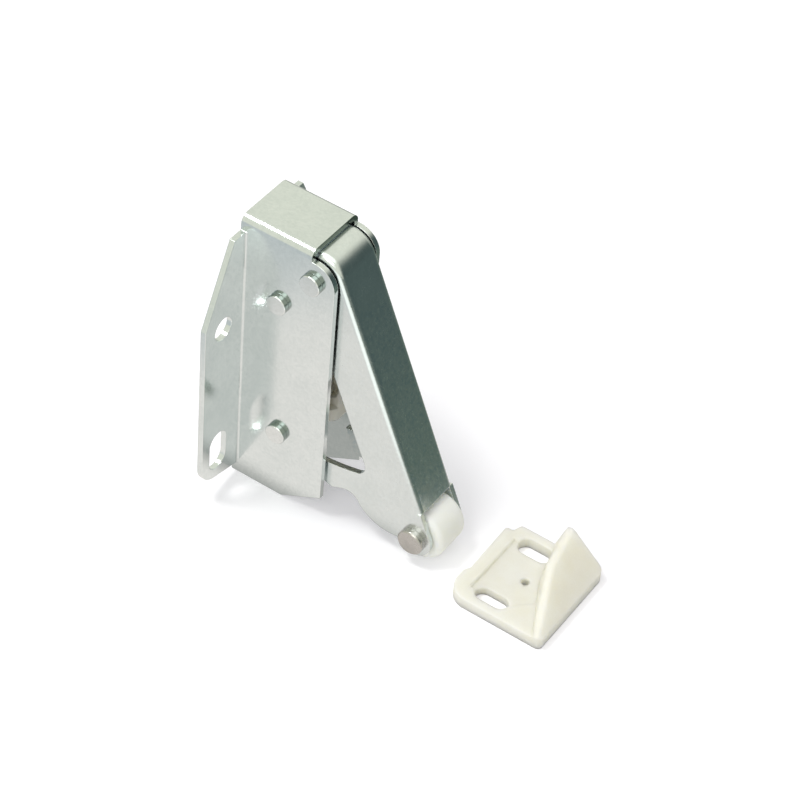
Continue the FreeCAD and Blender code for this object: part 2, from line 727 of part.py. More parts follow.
def build_strike():
    """The nylon strike: a slotted, dished base with a ramp that slants across it."""
    body = new_body("strike")
    base = sketch_on(body, "base_outline", "XY_Plane")
    back, low, high = "strike_back", "strike_near", "strike_far"
    step = "(strike_near + back_step_start)"
    waist = "(strike_back + back_step)"
    ledge = "(strike_far - lobe_deep)"
    outline(base, [
        (back, low),
        ("strike_front", low),
        ("strike_front", high),
        (back + " + lobe_long", high),
        (back + " + lobe_long - strike_soft", ledge),
        (waist + " - strike_soft / 2", ledge),
        (waist, step),
        (back, step + " - back_step_run"),
    ])
    pad(body, "base", base, "strike_base", both=False)
    for name, radius, x, y in (
            ("heel", "strike_heel", back, low),
            ("lobe_corner", "strike_soft", back + " + lobe_long", high),
            ("lobe_hollow", "strike_soft", back + " + lobe_long - strike_soft", ledge),
            ("ledge_corner", "strike_soft", waist + " - strike_soft / 2", ledge),
            ("step_hollow", "strike_soft", waist, step),
            ("step_corner", "strike_soft", back, step + " - back_step_run")):
        at_x, at_y = value(x), value(y)
        round_edges(body, name, radius, lambda p: near(p.x, at_x) and near(p.y, at_y))
    dish = sketch_on(body, "dish_outline", "XY_Plane", "strike_base")
    left, right = back + " + dish_back", back + " + dish_reach"
    bottom, top = "strike_side - strike_slot_spread / 2", "strike_side + strike_slot_spread / 2"
    outline(dish, [
        (left, bottom),
        ("slot_x + strike_slot_long / 2", bottom),
        (right, "ramp_mid_y"),
        (right, top),
        (left, top),
    ])
    pocket(body, "dish", dish, "dish_deep", both=False)
    rim_x, rim_y, rim_z = (value(left), value(right)), (value(bottom), value(top)), value("strike_base")
    round_edges(body, "dish_rim", "dish_soft",
                lambda p: near(p.z, rim_z) and rim_x[0] - 1e-4 < p.x < rim_x[1] + 1e-4
                and rim_y[0] - 1e-4 < p.y < rim_y[1] + 1e-4)
    stations = [
        ("far", high, "ramp_far_run", "ramp_far_toe"),
        ("shoulder", "ramp_shoulder_y", "ramp_shoulder_run", "ramp_shoulder_toe"),
        ("mid", "ramp_mid_y", "ramp_mid_run", "ramp_mid_toe"),
        ("near", low, "ramp_near_run", "ramp_near_toe"),
    ]
    sections = []
    for name, y, run, toe in stations:
        section = sketch_on(body, "ramp_" + name, "XZ_Plane", "-(%s)" % y)
        # the middle of the crest's rounding
        crest_x = "strike_front - %s - ramp_round * tan(ramp_angle / 2)" % run
        crest_z = "strike_base + %s * tan(ramp_angle) - ramp_round" % run
        outline(section, [
            ("strike_front - " + toe, "ramp_root"),
            ("strike_front", "ramp_root"),
            ("strike_front", "strike_base"),
            (crest_x + " + ramp_round * sin(ramp_angle)", crest_z + " + ramp_round * cos(ramp_angle)",
             "ccw", "ramp_round"),
            (crest_x + " - ramp_round * cos(ramp_lean)", crest_z + " + ramp_round * sin(ramp_lean)"),
        ])
        sections.append(section)
    for number in range(3):
        loft = body.newObject("PartDesign::AdditiveLoft", "ramp_length_%d" % (number + 1))
        loft.Profile = sections[number]
        loft.Sections = [sections[number + 1]]
        loft.Ruled = True
    slots = sketch_on(body, "slot_outlines", "XY_Plane")
    for sign in ("-", "+"):
        slot(slots, "slot_x", "(strike_side %s strike_slot_spread / 2)" % sign,
             "strike_slot_long", "strike_slot_wide")
    circle(slots, "strike_back + strike_pin_back", "strike_side", "strike_pin_hole / 2")
    pocket(body, "slot_cut", slots, "strike_base * 4")
    front, far, lip = value("strike_front"), value("strike_far"), value("strike_base")
    near_side = value("strike_near")
    round_edges(body, "front_corners", "strike_corner",
                lambda p: near(p.x, front) and (near(p.y, far) or near(p.y, near_side)) and p.z < lip + 1e-4)
    return body


pieces = [
    build_housing(),
    build_arm(),
    build_rivet("pivot_rivet", "pivot_x", "pivot_z", "pivot_rivet", "pivot_head"),
    build_rivet("upper_rivet", "upper_rivet_x", "upper_rivet_z", "block_rivet", "rivet_head"),
    build_rivet("lower_rivet", "lower_rivet_x", "lower_rivet_z", "block_rivet", "rivet_head"),
    build_roller_pin(),
    build_roller(),
    build_follower_pin(),
    build_cam_block(),
    build_follower(),
    build_spring(),
    build_strike(),
]
doc.recompute()

for feature in doc.Objects:
    if "Invalid" in feature.State or "Error" in feature.State:
        raise RuntimeError("%s did not build: %s" % (feature.Label, feature.State))
os.makedirs("parts", exist_ok=True)
for piece in pieces:
    if piece.Shape.isNull() or not piece.Shape.isValid():
        raise RuntimeError("%s has no valid shape" % piece.Label)
    piece.Shape.exportStep("parts/%s.step" % piece.Label)
    print("%-14s %2d solid(s) %9.2f mm3" % (piece.Label, len(piece.Shape.Solids), piece.Shape.Volume))
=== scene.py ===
# %% [markdown]
# # Touch latch: the look of the part
# The CAD part comes in as a fixed frame, in metres. This script gives every piece a procedural material,
# stands it on a pale floor under soft light, and sets the camera where the photograph was taken from.
# The torsion spring is the one piece that is made here. The real one bends when the arm swings; this one is
# made at rest.

# %% Load the frame
import json
import math

import bmesh
import bpy
from mathutils import Matrix, Vector


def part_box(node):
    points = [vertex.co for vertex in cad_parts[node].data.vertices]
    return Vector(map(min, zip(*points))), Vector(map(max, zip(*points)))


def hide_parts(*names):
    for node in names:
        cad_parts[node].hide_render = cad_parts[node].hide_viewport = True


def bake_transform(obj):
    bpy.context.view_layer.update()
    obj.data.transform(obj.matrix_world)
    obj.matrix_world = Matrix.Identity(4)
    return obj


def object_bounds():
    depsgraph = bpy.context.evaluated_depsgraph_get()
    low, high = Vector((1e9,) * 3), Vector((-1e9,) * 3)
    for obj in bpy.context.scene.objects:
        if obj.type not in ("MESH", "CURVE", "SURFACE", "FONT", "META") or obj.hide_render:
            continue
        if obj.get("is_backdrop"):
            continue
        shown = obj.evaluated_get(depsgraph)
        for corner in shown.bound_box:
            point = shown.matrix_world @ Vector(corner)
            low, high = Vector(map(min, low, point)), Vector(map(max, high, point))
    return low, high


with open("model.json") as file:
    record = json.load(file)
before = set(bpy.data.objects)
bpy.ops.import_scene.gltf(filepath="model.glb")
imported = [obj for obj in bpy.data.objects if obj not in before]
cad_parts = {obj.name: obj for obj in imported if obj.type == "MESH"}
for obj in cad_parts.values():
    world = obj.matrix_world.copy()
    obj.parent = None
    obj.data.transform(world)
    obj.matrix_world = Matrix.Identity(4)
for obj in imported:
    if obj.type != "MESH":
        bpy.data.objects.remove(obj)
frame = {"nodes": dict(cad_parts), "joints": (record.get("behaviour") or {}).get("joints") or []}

nodes = frame["nodes"]
cad_low, cad_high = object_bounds()
print("CAD nodes:", sorted(nodes))
print("CAD box in mm:", [round(v * 1000, 1) for v in (*cad_low, *cad_high)])

# %% [markdown]
# ## Camera
# Its place and directions were worked out from the latch's own parallel folds in the photograph. A Blender
# camera looks along its own -Z, with +X to the right and +Y up, so those three directions are the columns
# of its matrix. The focal length is in pixels of an 800 pixel wide picture, on a sensor 36 mm wide.

# %% Make the camera
EYE = Vector((0.16786, -0.24194, 0.26939))
RIGHT = Vector((0.82251, 0.56443, 0.06999)).normalized()
AHEAD = Vector((-0.36153, 0.61385, -0.70177)).normalized()
FOCAL_PIXELS = 2722.4
PICTURE_PIXELS = 800
SENSOR_MM = 36.0

up = RIGHT.cross(AHEAD).normalized()
camera_data = bpy.data.cameras.new("camera")
camera_data.sensor_width = SENSOR_MM
camera_data.lens = FOCAL_PIXELS / PICTURE_PIXELS * SENSOR_MM
camera_data.clip_start = 0.01
camera_data.clip_end = 20.0
camera = bpy.data.objects.new("camera", camera_data)
bpy.context.scene.collection.objects.link(camera)
camera.matrix_world = Matrix.Translation(EYE) @ Matrix((RIGHT, up, -AHEAD)).transposed().to_4x4()
bpy.context.scene.camera = camera
print("camera lens in mm:", round(camera_data.lens, 1))

# %% [markdown]
# ## Shader arithmetic
# A material is a graph of nodes. It could be wired by hand in the editor, node by node, but a long pattern is
# easier to read as ordinary arithmetic. The class below wraps one output of a node, so that `1.0 - a * b`
# makes the Math nodes that compute it.

# %% Arithmetic on sockets
MIX_FIRST, MIX_SECOND, MIX_RESULT = 6, 7, 2  # a Mix node's sockets for colours


class Field:
    """One output of a node: a number, colour or vector that varies over the surface, or a shader."""

    def __init__(self, graph, socket):
        self.graph = graph
        self.socket = socket

    def _math(self, operation, *items):
        return self.graph.field("ShaderNodeMath", dict(enumerate(items)), operation=operation)

    def __add__(self, other):
        return self._math("ADD", self, other)

    def __sub__(self, other):
        return self._math("SUBTRACT", self, other)

    def __rsub__(self, other):
        return self._math("SUBTRACT", other, self)

    def __mul__(self, other):
        return self._math("MULTIPLY", self, other)

    def __neg__(self):
        return self._math("MULTIPLY", self, -1.0)

    __radd__ = __add__
    __rmul__ = __mul__

    def largest(self, other):
        """The larger of the two."""
        return self._math("MAXIMUM", self, other)

    def size(self):
        """The number without its sign."""
        return self._math("ABSOLUTE", self)

    def ramp(self, low, high):
        """0 below low, 1 above high, smooth between."""
        inputs = {0: self, 1: low, 2: high}
        return self.graph.field("ShaderNodeMapRange", inputs, interpolation_type="SMOOTHSTEP")

    def blend(self, first, second):
        """The colour first where this is 0 and second where it is 1."""
        inputs = {"Factor": self, MIX_FIRST: first, MIX_SECOND: second}
        return self.graph.field("ShaderNodeMix", inputs, MIX_RESULT, data_type="RGBA")


print("arithmetic ready")

# %% [markdown]
# A graph belongs to a material or to the world. All its nodes come from one method, `node`, which sets the
# node's own settings first and then its inputs. `field` does the same and gives back one output.


# %% Graphs of nodes
class Graph:
    """The nodes of a material or of the world, whose inputs take numbers, colours and Fields."""

    def __init__(self, tree, coordinates):
        self.tree = tree
        tree.nodes.clear()
        self.place = self.field("ShaderNodeTexCoord", output=coordinates)

    def feed(self, socket, item):
        if isinstance(item, Field):
            self.tree.links.new(item.socket, socket)
        elif socket.type == "RGBA":
            socket.default_value = (*item, 1.0)
        else:
            socket.default_value = item

    def node(self, kind, inputs=None, **settings):
        """A new node. Its inputs are given by name or by number."""
        made = self.tree.nodes.new(kind)
        for key, item in settings.items():
            setattr(made, key, item)
        for key, item in (inputs or {}).items():
            self.feed(made.inputs[key], item)
        return made

    def field(self, kind, inputs=None, output=0, **settings):
        """One output of a new node, by name or by number."""
        return Field(self, self.node(kind, inputs, **settings).outputs[output])

    def along(self, direction):
        """How far a point lies along a direction, in metres. In a world, the cosine of the angle to it."""
        inputs = {0: self.place, 1: direction}
        return self.field("ShaderNodeVectorMath", inputs, "Value", operation="DOT_PRODUCT")

    def axis(self, letter):
        """A point's X, Y or Z, in metres."""
        return self.field("ShaderNodeSeparateXYZ", {0: self.place}, letter)


print("graphs ready")

# %% [markdown]
# A surface is a graph round one Principled shader. The patterns read object coordinates, which stay on a
# piece when it moves. A Bevel node tells how the normal would turn if the edges were rounded. That softens
# the CAD's sharp edges without new faces, and compared with the true normal it shows where the edges are.

# %% Surfaces and their patterns
BEVEL_SAMPLES = 6
EDGE_LEAN = (0.01, 0.22)


class Surface(Graph):
    """A material with one Principled shader."""

    def __init__(self, name, inputs):
        self.material = bpy.data.materials.new(name)
        self.material.use_nodes = True
        super().__init__(self.material.node_tree, "Object")
        self.shader = self.node("ShaderNodeBsdfPrincipled", inputs)
        self.output = self.node("ShaderNodeOutputMaterial", {"Surface": Field(self, self.shader.outputs[0])})

    def set(self, label, item):
        self.feed(self.shader.inputs[label], item)

    def stretched(self, x, y, z):
        """Object coordinates times x, y and z."""
        return self.field("ShaderNodeMapping", {"Vector": self.place, "Scale": (x, y, z)})

    def noise(self, x, y=None, z=None, detail=3.0, roughness=0.55):
        """Cloudy values from 0 to 1, with x, y and z features per metre. One number serves for all three."""
        grid = self.stretched(x, y or x, z or x)
        inputs = {"Vector": grid, "Scale": 1.0, "Detail": detail, "Roughness": roughness}
        return self.field("ShaderNodeTexNoise", inputs)

    def cells(self, scale):
        """One random value for each cell, with as many cells per metre as scale says."""
        inputs = {"Vector": self.stretched(scale, scale, scale), "Scale": 1.0}
        colour = self.field("ShaderNodeTexVoronoi", inputs, "Color")
        return self.field("ShaderNodeSeparateColor", {0: colour})

    def rounded(self, radius):
        """The normal as it would be with rounded edges."""
        return self.field("ShaderNodeBevel", {"Radius": radius}, samples=BEVEL_SAMPLES)

    def edges(self, radius):
        """1 on an edge and 0 on a face: how far the rounded normal leans away from the true one."""
        true = self.field("ShaderNodeNewGeometry", output="Normal")
        inputs = {0: self.rounded(radius), 1: true}
        likeness = self.field("ShaderNodeVectorMath", inputs, "Value", operation="DOT_PRODUCT")
        return (1.0 - likeness).ramp(*EDGE_LEAN)

    def bump(self, height, distance, strength=0.5, radius=None):
        """Relief of the given height, in units of distance, on edges that are rounded by radius."""
        inputs = {"Height": height, "Distance": distance, "Strength": strength}
        if radius:
            inputs["Normal"] = self.rounded(radius)
        self.set("Normal", self.field("ShaderNodeBump", inputs))


print("surfaces ready")

# %% [markdown]
# ## Zinc-plated sheet
# Bright zinc is a pale metal with a faint green-blue cast. Cold-rolled sheet has fine lines along the way it
# was rolled, made here by a noise that is stretched in that direction. Over them lie soft clouds from the
# plating bath, small crystals, a few scratches, and paler edges, partly where the plating is thicker and
# partly a painted highlight. A picture of such sheet could be laid over the part, but a computed pattern has
# no seams and stays sharp.
#
# Two places are painted darker, as painted shade: the cut end of the bridge, whose bare cut steel is darkened
# further for the shade in the gap above the arm, and the sides of the rivet heads, darkened for the shade
# round each head. The crystals show most on the arm's web, between its two cheeks, so they have a number of
# their own and fade out towards the cheeks and the curl. Each place is found by its coordinates in metres,
# between a measure where it begins and one where it is full.

# %% Places on the sheet
BRIDGE_END_X = (0.01221, 0.01228)
BRIDGE_END_Z = (0.0160, 0.0168)
HEAD_FACE_Y = (0.00632, 0.00642)
# How strongly shade is painted on the sides of the rivet heads:
HEAD_SHADE_SHARE = 0.75
CHEEK_Y = (0.0030, 0.0042)
CURL_Z = (0.006, 0.010)
WEB_FADE = 0.85


def bridge_end(surface):
    """1 on the cut end of the bridge, above the arm, where shade is painted."""
    return surface.axis("X").ramp(*BRIDGE_END_X) * surface.axis("Z").ramp(*BRIDGE_END_Z)


def head_sides(surface):
    """High on the sides of the rivet heads, where shade is painted, and 0 on their faces."""
    return (1.0 - surface.axis("Y").size().ramp(*HEAD_FACE_Y)) * HEAD_SHADE_SHARE


def arm_web(surface):
    """1 on the arm's web and low on its cheeks and its curl."""
    cheeks = surface.axis("Y").size().ramp(*CHEEK_Y)
    curl = surface.axis("Z").ramp(*CURL_Z)
    return 1.0 - cheeks.largest(curl) * WEB_FADE


print("places on the sheet known")

# %% [markdown]
# The recipe below mixes five patterns, first for the tone, then for the roughness, then for the height of the
# relief. Their shares differ: the lines do most for the relief, and the clouds for the tone. Patterns are
# given in features per metre, and edges, rounding and relief in metres.

# %% Zinc
LINES = 9000
CLOUDS = 160
SPOTS = 1400
CRYSTALS = 2600
SCRATCHES = (300, 16000, 2500)
ZINC_EDGE = 0.00022
ZINC_ROUNDING = 0.00016
ZINC_RELIEF = 0.000006
CRYSTAL_TONE = (0.46, 0.58, 0.64)
SPOT_TONE = (0.88, 0.92, 0.87)
# The paler tone of the edges: partly thicker plating, partly a painted highlight.
EDGE_PLATING_AND_HIGHLIGHT = (0.90, 0.92, 0.91)
# The dark tone of the painted shade on the bridge's cut end and the rivet head sides:
PAINTED_SHADE_ZINC = (0.20, 0.25, 0.22)


def zinc(name, pale, dark, rolled, rough, grain, mottle=0.0, painted_shade=None):
    """Plated steel. `rolled` is the rolling direction, as a stretch of the lines for each axis."""
    surface = Surface(name, {"Metallic": 1.0})
    lines = surface.noise(*(LINES * stretch for stretch in rolled), detail=4.0, roughness=0.65)
    clouds = surface.noise(CLOUDS, detail=4.0, roughness=0.6)
    spots = surface.noise(SPOTS, detail=2.0)
    crystals = surface.cells(CRYSTALS)
    scratched = surface.noise(SCRATCHES[0] * rolled[1], SCRATCHES[1], SCRATCHES[2] * rolled[0], detail=2.0)
    scratches = scratched.ramp(0.70, 0.76)
    tone = clouds * 0.45 + lines * 0.30 + crystals * 0.12 + spots * 0.13
    colour = tone.ramp(0.34, 0.66).blend(dark, pale)
    if mottle:
        web = arm_web(surface) * mottle
        colour = (crystals.ramp(0.45, 1.0) * web).blend(colour, CRYSTAL_TONE)
        colour = (spots.ramp(0.50, 0.72) * web).blend(colour, SPOT_TONE)
    # Paler edges: partly thicker plating, partly a painted highlight.
    colour = (surface.edges(ZINC_EDGE) * 0.5).blend(colour, EDGE_PLATING_AND_HIGHLIGHT)
    # Painted shade: the places that the given mask marks are darkened towards a dark zinc.
    if painted_shade:
        colour = painted_shade(surface).blend(colour, PAINTED_SHADE_ZINC)
    surface.set("Base Color", colour)
    roughness = clouds * 0.10 + lines * 0.10 * grain + spots * 0.05 + scratches * 0.06 + (rough - 0.12)
    surface.set("Roughness", roughness)
    height = lines * 0.6 + spots * 0.25 + crystals * 0.15 - scratches * 0.4
    surface.bump(height, ZINC_RELIEF * grain, strength=0.55, radius=ZINC_ROUNDING)
    return surface.material


SHEET_PALE = (0.755, 0.80, 0.80)
SHEET_DARK = (0.675, 0.725, 0.725)
HEAD_PALE = (0.76, 0.79, 0.79)
HEAD_DARK = (0.68, 0.71, 0.70)
plate_zinc = zinc("plate_zinc", SHEET_PALE, SHEET_DARK, (1.0, 0.5, 0.05), rough=0.17, grain=0.8,
                  painted_shade=bridge_end)
arm_zinc = zinc("arm_zinc", SHEET_PALE, SHEET_DARK, (1.0, 1.0, 0.07), rough=0.22, grain=1.3, mottle=0.5)
rivet_zinc = zinc("rivet_zinc", HEAD_PALE, HEAD_DARK, (0.6, 0.6, 0.6), rough=0.17, grain=0.6, painted_shade=head_sides)
print("zinc materials made")

# %% [markdown]
# ## Other metals
# The roller's pin is nickel, a little warmer than the zinc, with fine marks all over and edges painted paler,
# as a painted highlight. The two wires are drawn steel: fine lines run along them, and a thin film of oil
# darkens them. Hardly any of them shows, so two noises are enough for each.

# %% Nickel and wire
NICKEL_EDGE = 0.0002
NICKEL_ROUNDING = 0.00012
NICKEL_RELIEF = 0.000008
NICKEL_DARK = (0.44, 0.43, 0.41)
NICKEL_PALE = (0.53, 0.515, 0.49)
# The paler tone of the painted highlight on the edges:
EDGE_HIGHLIGHT_NICKEL = (0.90, 0.88, 0.85)
WIRE_RELIEF = 0.000006
SPRING_PALE = (0.62, 0.62, 0.60)
SPRING_DARK = (0.42, 0.42, 0.41)
FOLLOWER_PALE = (0.70, 0.70, 0.68)
FOLLOWER_DARK = (0.50, 0.50, 0.49)


def nickel(name):
    surface = Surface(name, {"Metallic": 1.0})
    clouds = surface.noise(700)
    fine = surface.noise(7000)
    colour = (clouds * 0.6 + fine * 0.4).ramp(0.3, 0.7).blend(NICKEL_DARK, NICKEL_PALE)
    # Painted highlight: the edges are paler.
    surface.set("Base Color", (surface.edges(NICKEL_EDGE) * 0.3).blend(colour, EDGE_HIGHLIGHT_NICKEL))
    surface.set("Roughness", clouds * 0.12 + fine * 0.08 + 0.16)
    surface.bump(fine * 0.7 + clouds * 0.3, NICKEL_RELIEF, radius=NICKEL_ROUNDING)
    return surface.material


def drawn_wire(name, pale, dark):
    surface = Surface(name, {"Metallic": 1.0})
    lines = surface.noise(6000, 6000, 500)
    clouds = surface.noise(500)
    surface.set("Base Color", (lines * 0.5 + clouds * 0.5).ramp(0.3, 0.7).blend(dark, pale))
    surface.set("Roughness", lines * 0.15 + clouds * 0.1 + 0.22)
    surface.bump(lines, WIRE_RELIEF)
    return surface.material


pin_nickel = nickel("pin_nickel")
spring_steel = drawn_wire("spring_steel", SPRING_PALE, SPRING_DARK)
follower_steel = drawn_wire("follower_steel", FOLLOWER_PALE, FOLLOWER_DARK)
print("nickel and wire materials made")

# %% [markdown]
# ## Natural nylon
# Unpigmented nylon is milky: light enters, scatters and comes out nearby. A flat pale paint would look like
# chalk, so the light goes in by subsurface scattering, a few millimetres deep. The surface is satin, with a
# fine spark-eroded texture, faint flow clouds and shinier edges, which are also painted paler as a painted
# highlight.

# %% Nylon
NYLON_IOR = 1.53
SCATTERED_COLOURS = (1.0, 0.97, 0.85)
# The paler tone of the painted highlight on the edges:
EDGE_HIGHLIGHT_NYLON = (0.92, 0.92, 0.88)
NYLON_EDGE = 0.0003
NYLON_ROUNDING = 0.00045


def nylon(name, pale, warm, scatter, depth, rough, texture):
    """Natural nylon. `scatter` is how much of the light goes in, and `depth` how far it goes, in metres."""
    surface = Surface(name, {"IOR": NYLON_IOR, "Subsurface Weight": scatter, "Subsurface Scale": depth,
                             "Subsurface Radius": SCATTERED_COLOURS})
    clouds = surface.noise(220, detail=4.0)
    fine = surface.noise(4200, roughness=0.6)
    edge = surface.edges(NYLON_EDGE)
    colour = (clouds * 0.7 + fine * 0.3).ramp(0.32, 0.68).blend(warm, pale)
    # Painted highlight: the edges are paler.
    surface.set("Base Color", (edge * 0.15).blend(colour, EDGE_HIGHLIGHT_NYLON))
    surface.set("Roughness", fine * 0.14 + clouds * 0.08 - edge * 0.06 + (rough - 0.10))
    surface.bump(fine * 0.8 + clouds * 0.2, texture, radius=NYLON_ROUNDING)
    return surface.material


roller_nylon = nylon("roller_nylon", (0.92, 0.955, 0.89), (0.90, 0.935, 0.84),
                     scatter=0.7, depth=0.0018, rough=0.40, texture=0.000010)
block_nylon = nylon("block_nylon", (0.86, 0.83, 0.73), (0.78, 0.74, 0.62),
                    scatter=0.4, depth=0.0045, rough=0.45, texture=0.000014)
strike_nylon = nylon("strike_nylon", (0.835, 0.825, 0.735), (0.80, 0.78, 0.67),
                     scatter=1.0, depth=0.0030, rough=0.52, texture=0.000010)
print("nylon materials made")

# %% [markdown]
# ## Dress the CAD nodes
# Each CAD node keeps its mesh. Only the material in its slots is exchanged.

# %% Give each node its material
DRESS = {
    "housing": plate_zinc,
    "arm": arm_zinc,
    "pivot_rivet": rivet_zinc,
    "upper_rivet": rivet_zinc,
    "lower_rivet": rivet_zinc,
    "roller": roller_nylon,
    "roller_pin": pin_nickel,
    "cam_block": block_nylon,
    "follower": follower_steel,
    "follower_pin": pin_nickel,
    "strike": strike_nylon,
}
for label, material in DRESS.items():
    for slot in nodes[label].material_slots:
        slot.material = material
print("dressed", len(DRESS), "nodes")

# %% [markdown]
# ## Torsion spring
# The coil lies round the pivot. One leg bears under the bridge, the other lies against the arm's web. A wire
# can be a curve with a round bevel, but here it is one circle that `bmesh.ops.spin` winds into the coil, with
# a small shift at each step for the pitch, and that is then drawn out into the two legs. These leave the coil
# at its own slope. The measures are those of the CAD part.

# %% Measures of the spring
WIRE = 0.0008  # the wire's diameter
COIL = 0.0022  # the coil's radius, to the middle of the wire
PITCH = 0.00085  # along Y, for one turn
LEG = 0.011  # from the pivot down the arm to the end of the lower leg
LEG_SIDE = 0.0031  # from there across to the web
KINK = 0.0086  # the X at which the upper leg bends up
KINK_ROUND = 0.0012  # the radius of that bend
TIP_INSET = WIRE * 0.2  # from the CAD spring's box to the middle of the upper leg's end
REST = math.radians(24.1)  # how far the arm stands out at rest
TURNS = 4.25  # from the coil's top to its +X side, shortly before which the lower leg leaves

hinge = next(joint for joint in frame["joints"] if joint["name"] == "arm_hinge")
pivot = Vector(hinge["pos_m"])
low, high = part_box("torsion_spring")
foot = math.hypot(LEG_SIDE, LEG)
leave = math.atan2(-LEG, LEG_SIDE) + math.acos(COIL / foot) + REST
sweep = TURNS * 2 * math.pi - leave
span = sweep / (2 * math.pi) * PITCH
climb = PITCH / (2 * math.pi * COIL)
print("turns of the spring:", round(sweep / (2 * math.pi), 2))


# %% Ways to bend a wire
def draw_out(build, edges, shift):
    """Lengthens the wire by a straight piece and gives back the ring at its new end."""
    made = bmesh.ops.extrude_edge_only(build, edges=edges)["geom"]
    ring = [item for item in made if isinstance(item, bmesh.types.BMVert)]
    bmesh.ops.translate(build, verts=ring, vec=shift)
    return [item for item in made if isinstance(item, bmesh.types.BMEdge) and len(item.link_faces) == 1]


def turn(build, edges, centre, angle, steps, shift=0.0):
    """Bends the wire about a centre, with a shift along Y at each step, and gives back its new end."""
    ring = list({vert for edge in edges for vert in edge.verts})
    last = bmesh.ops.spin(build, geom=ring + list(edges), cent=centre, axis=(0.0, 1.0, 0.0),
                          dvec=(0.0, shift, 0.0), angle=angle, steps=steps)["geom_last"]
    return [item for item in last if isinstance(item, bmesh.types.BMEdge)]


print("ways to bend a wire ready")

# %% Wind the coil and draw out the lower leg
WIRE_SIDES = 14
COIL_STEPS = 150
KINK_STEPS = 6

top = pivot + Vector((0.0, -span / 2, COIL))
build = bmesh.new()
bmesh.ops.create_circle(build, segments=WIRE_SIDES, radius=WIRE / 2,
                        matrix=Matrix.Translation(top) @ Matrix.Rotation(math.pi / 2, 4, "Y"))
start = list(build.edges)
end = turn(build, start, pivot, sweep, COIL_STEPS, shift=span / COIL_STEPS)
leg = Vector((math.sin(leave), climb, -math.cos(leave))) * math.sqrt(foot ** 2 - COIL ** 2)
draw_out(build, end, leg)
print("lower leg in mm:", round(leg.length * 1000, 2))

# %% Draw out the upper leg and kink it
rise = high.z - WIRE / 2 - top.z
lift = math.atan2(rise, KINK - low.x)
nip = KINK_ROUND * math.tan(lift / 2)
end = draw_out(build, start, Vector((1.0, climb, 0.0)) * (KINK + nip - top.x))
end = turn(build, end, Vector((KINK + nip, top.y, top.z + KINK_ROUND)), lift, KINK_STEPS)
tail = Vector((low.x + TIP_INSET - KINK, 0.0, rise)) * (1.0 - nip / math.hypot(rise, KINK - low.x))
draw_out(build, end, tail)
print("kink of the upper leg in degrees:", round(math.degrees(lift), 1))

# %% [markdown]
# The two open ends are closed, and the piece then stands in for the CAD spring.

# %% Close the wire and put it in place of the CAD spring
bmesh.ops.holes_fill(build, edges=[edge for edge in build.edges if len(edge.link_faces) == 1], sides=0)
bmesh.ops.recalc_face_normals(build, faces=build.faces)
mesh = bpy.data.meshes.new("torsion_spring_wire")
build.to_mesh(mesh)
build.free()
for face in mesh.polygons:
    face.use_smooth = len(face.vertices) == 4
spring = bpy.data.objects.new("torsion_spring_wire", mesh)
bpy.context.scene.collection.objects.link(spring)
spring.data.materials.append(spring_steel)
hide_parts("torsion_spring")
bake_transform(spring)
lowest = [round(min(v.co[i] for v in mesh.vertices) * 1000, 2) for i in range(3)]
highest = [round(max(v.co[i] for v in mesh.vertices) * 1000, 2) for i in range(3)]
print("spring faces:", len(mesh.polygons), "box in mm:", lowest, highest)
print("CAD spring's box in mm:", [round(v * 1000, 2) for v in (*low, *high)])

# %% [markdown]
# ## Floor
# To mirrored rays the floor is thus a painted reflection: the dimmer zone under the part is a painted shadow,
# and the bright patch in front is a painted highlight, brighter than white, with no lamp there.
# The floor is a white sheet. The picture shows it almost burnt out, with only soft shadows left. More light
# would burn out the part as well, so the Light Path node tells the rays apart. To the camera the sheet glows
# a little, and more so far away, where the lamps don't reach. A ray that was mirrored by metal sees other
# tones: a pale sheet close by, a dimmer one under the part and towards the left, a bright patch in front
# where a reflector would stand, and a dark room past the end of the sheet, which the arm's web mirrors.
#
# The zones below are in metres. Where one has two numbers, it begins at the first and is full at the second.

# %% What mirrored rays see of the floor: a painted reflection
WEB_MIRRORS = Vector((0.78, 0.62, 0.0)).normalized()
SHEET_END = (0.030, 0.065)
ROOM_DEPTH = (0.10, 0.24)
HALF_WIDTH = 0.009
SIDE_SOFTNESS = (0.0, 0.004)
FRONT = 0.036
FRONT_SOFTNESS = (0.0, 0.006)
# Where the patch of painted highlight lies:
HIGHLIGHT_PATCH_NEAR = (0.046, 0.056)
HIGHLIGHT_PATCH_SIDE = (0.022, 0.034)
LEFT_FADE = (0.042, 0.080)
SHEET = (0.97, 0.925, 0.88)
LEFT_SHEET = (0.66, 0.69, 0.69)
# The painted highlight patch, brighter than white, which the arm's bend mirrors as a bright line:
PAINTED_HIGHLIGHT_TONE = (1.38, 1.41, 1.34)
# Painted shadow of the part, as mirrored rays see it under the part:
PAINTED_SHADOW_TONE = (0.16, 0.18, 0.17)
PAINTED_SHADOW_SHARE = 0.6
ROOM = (0.135, 0.18, 0.15)
DEEP_ROOM = (0.080, 0.115, 0.11)


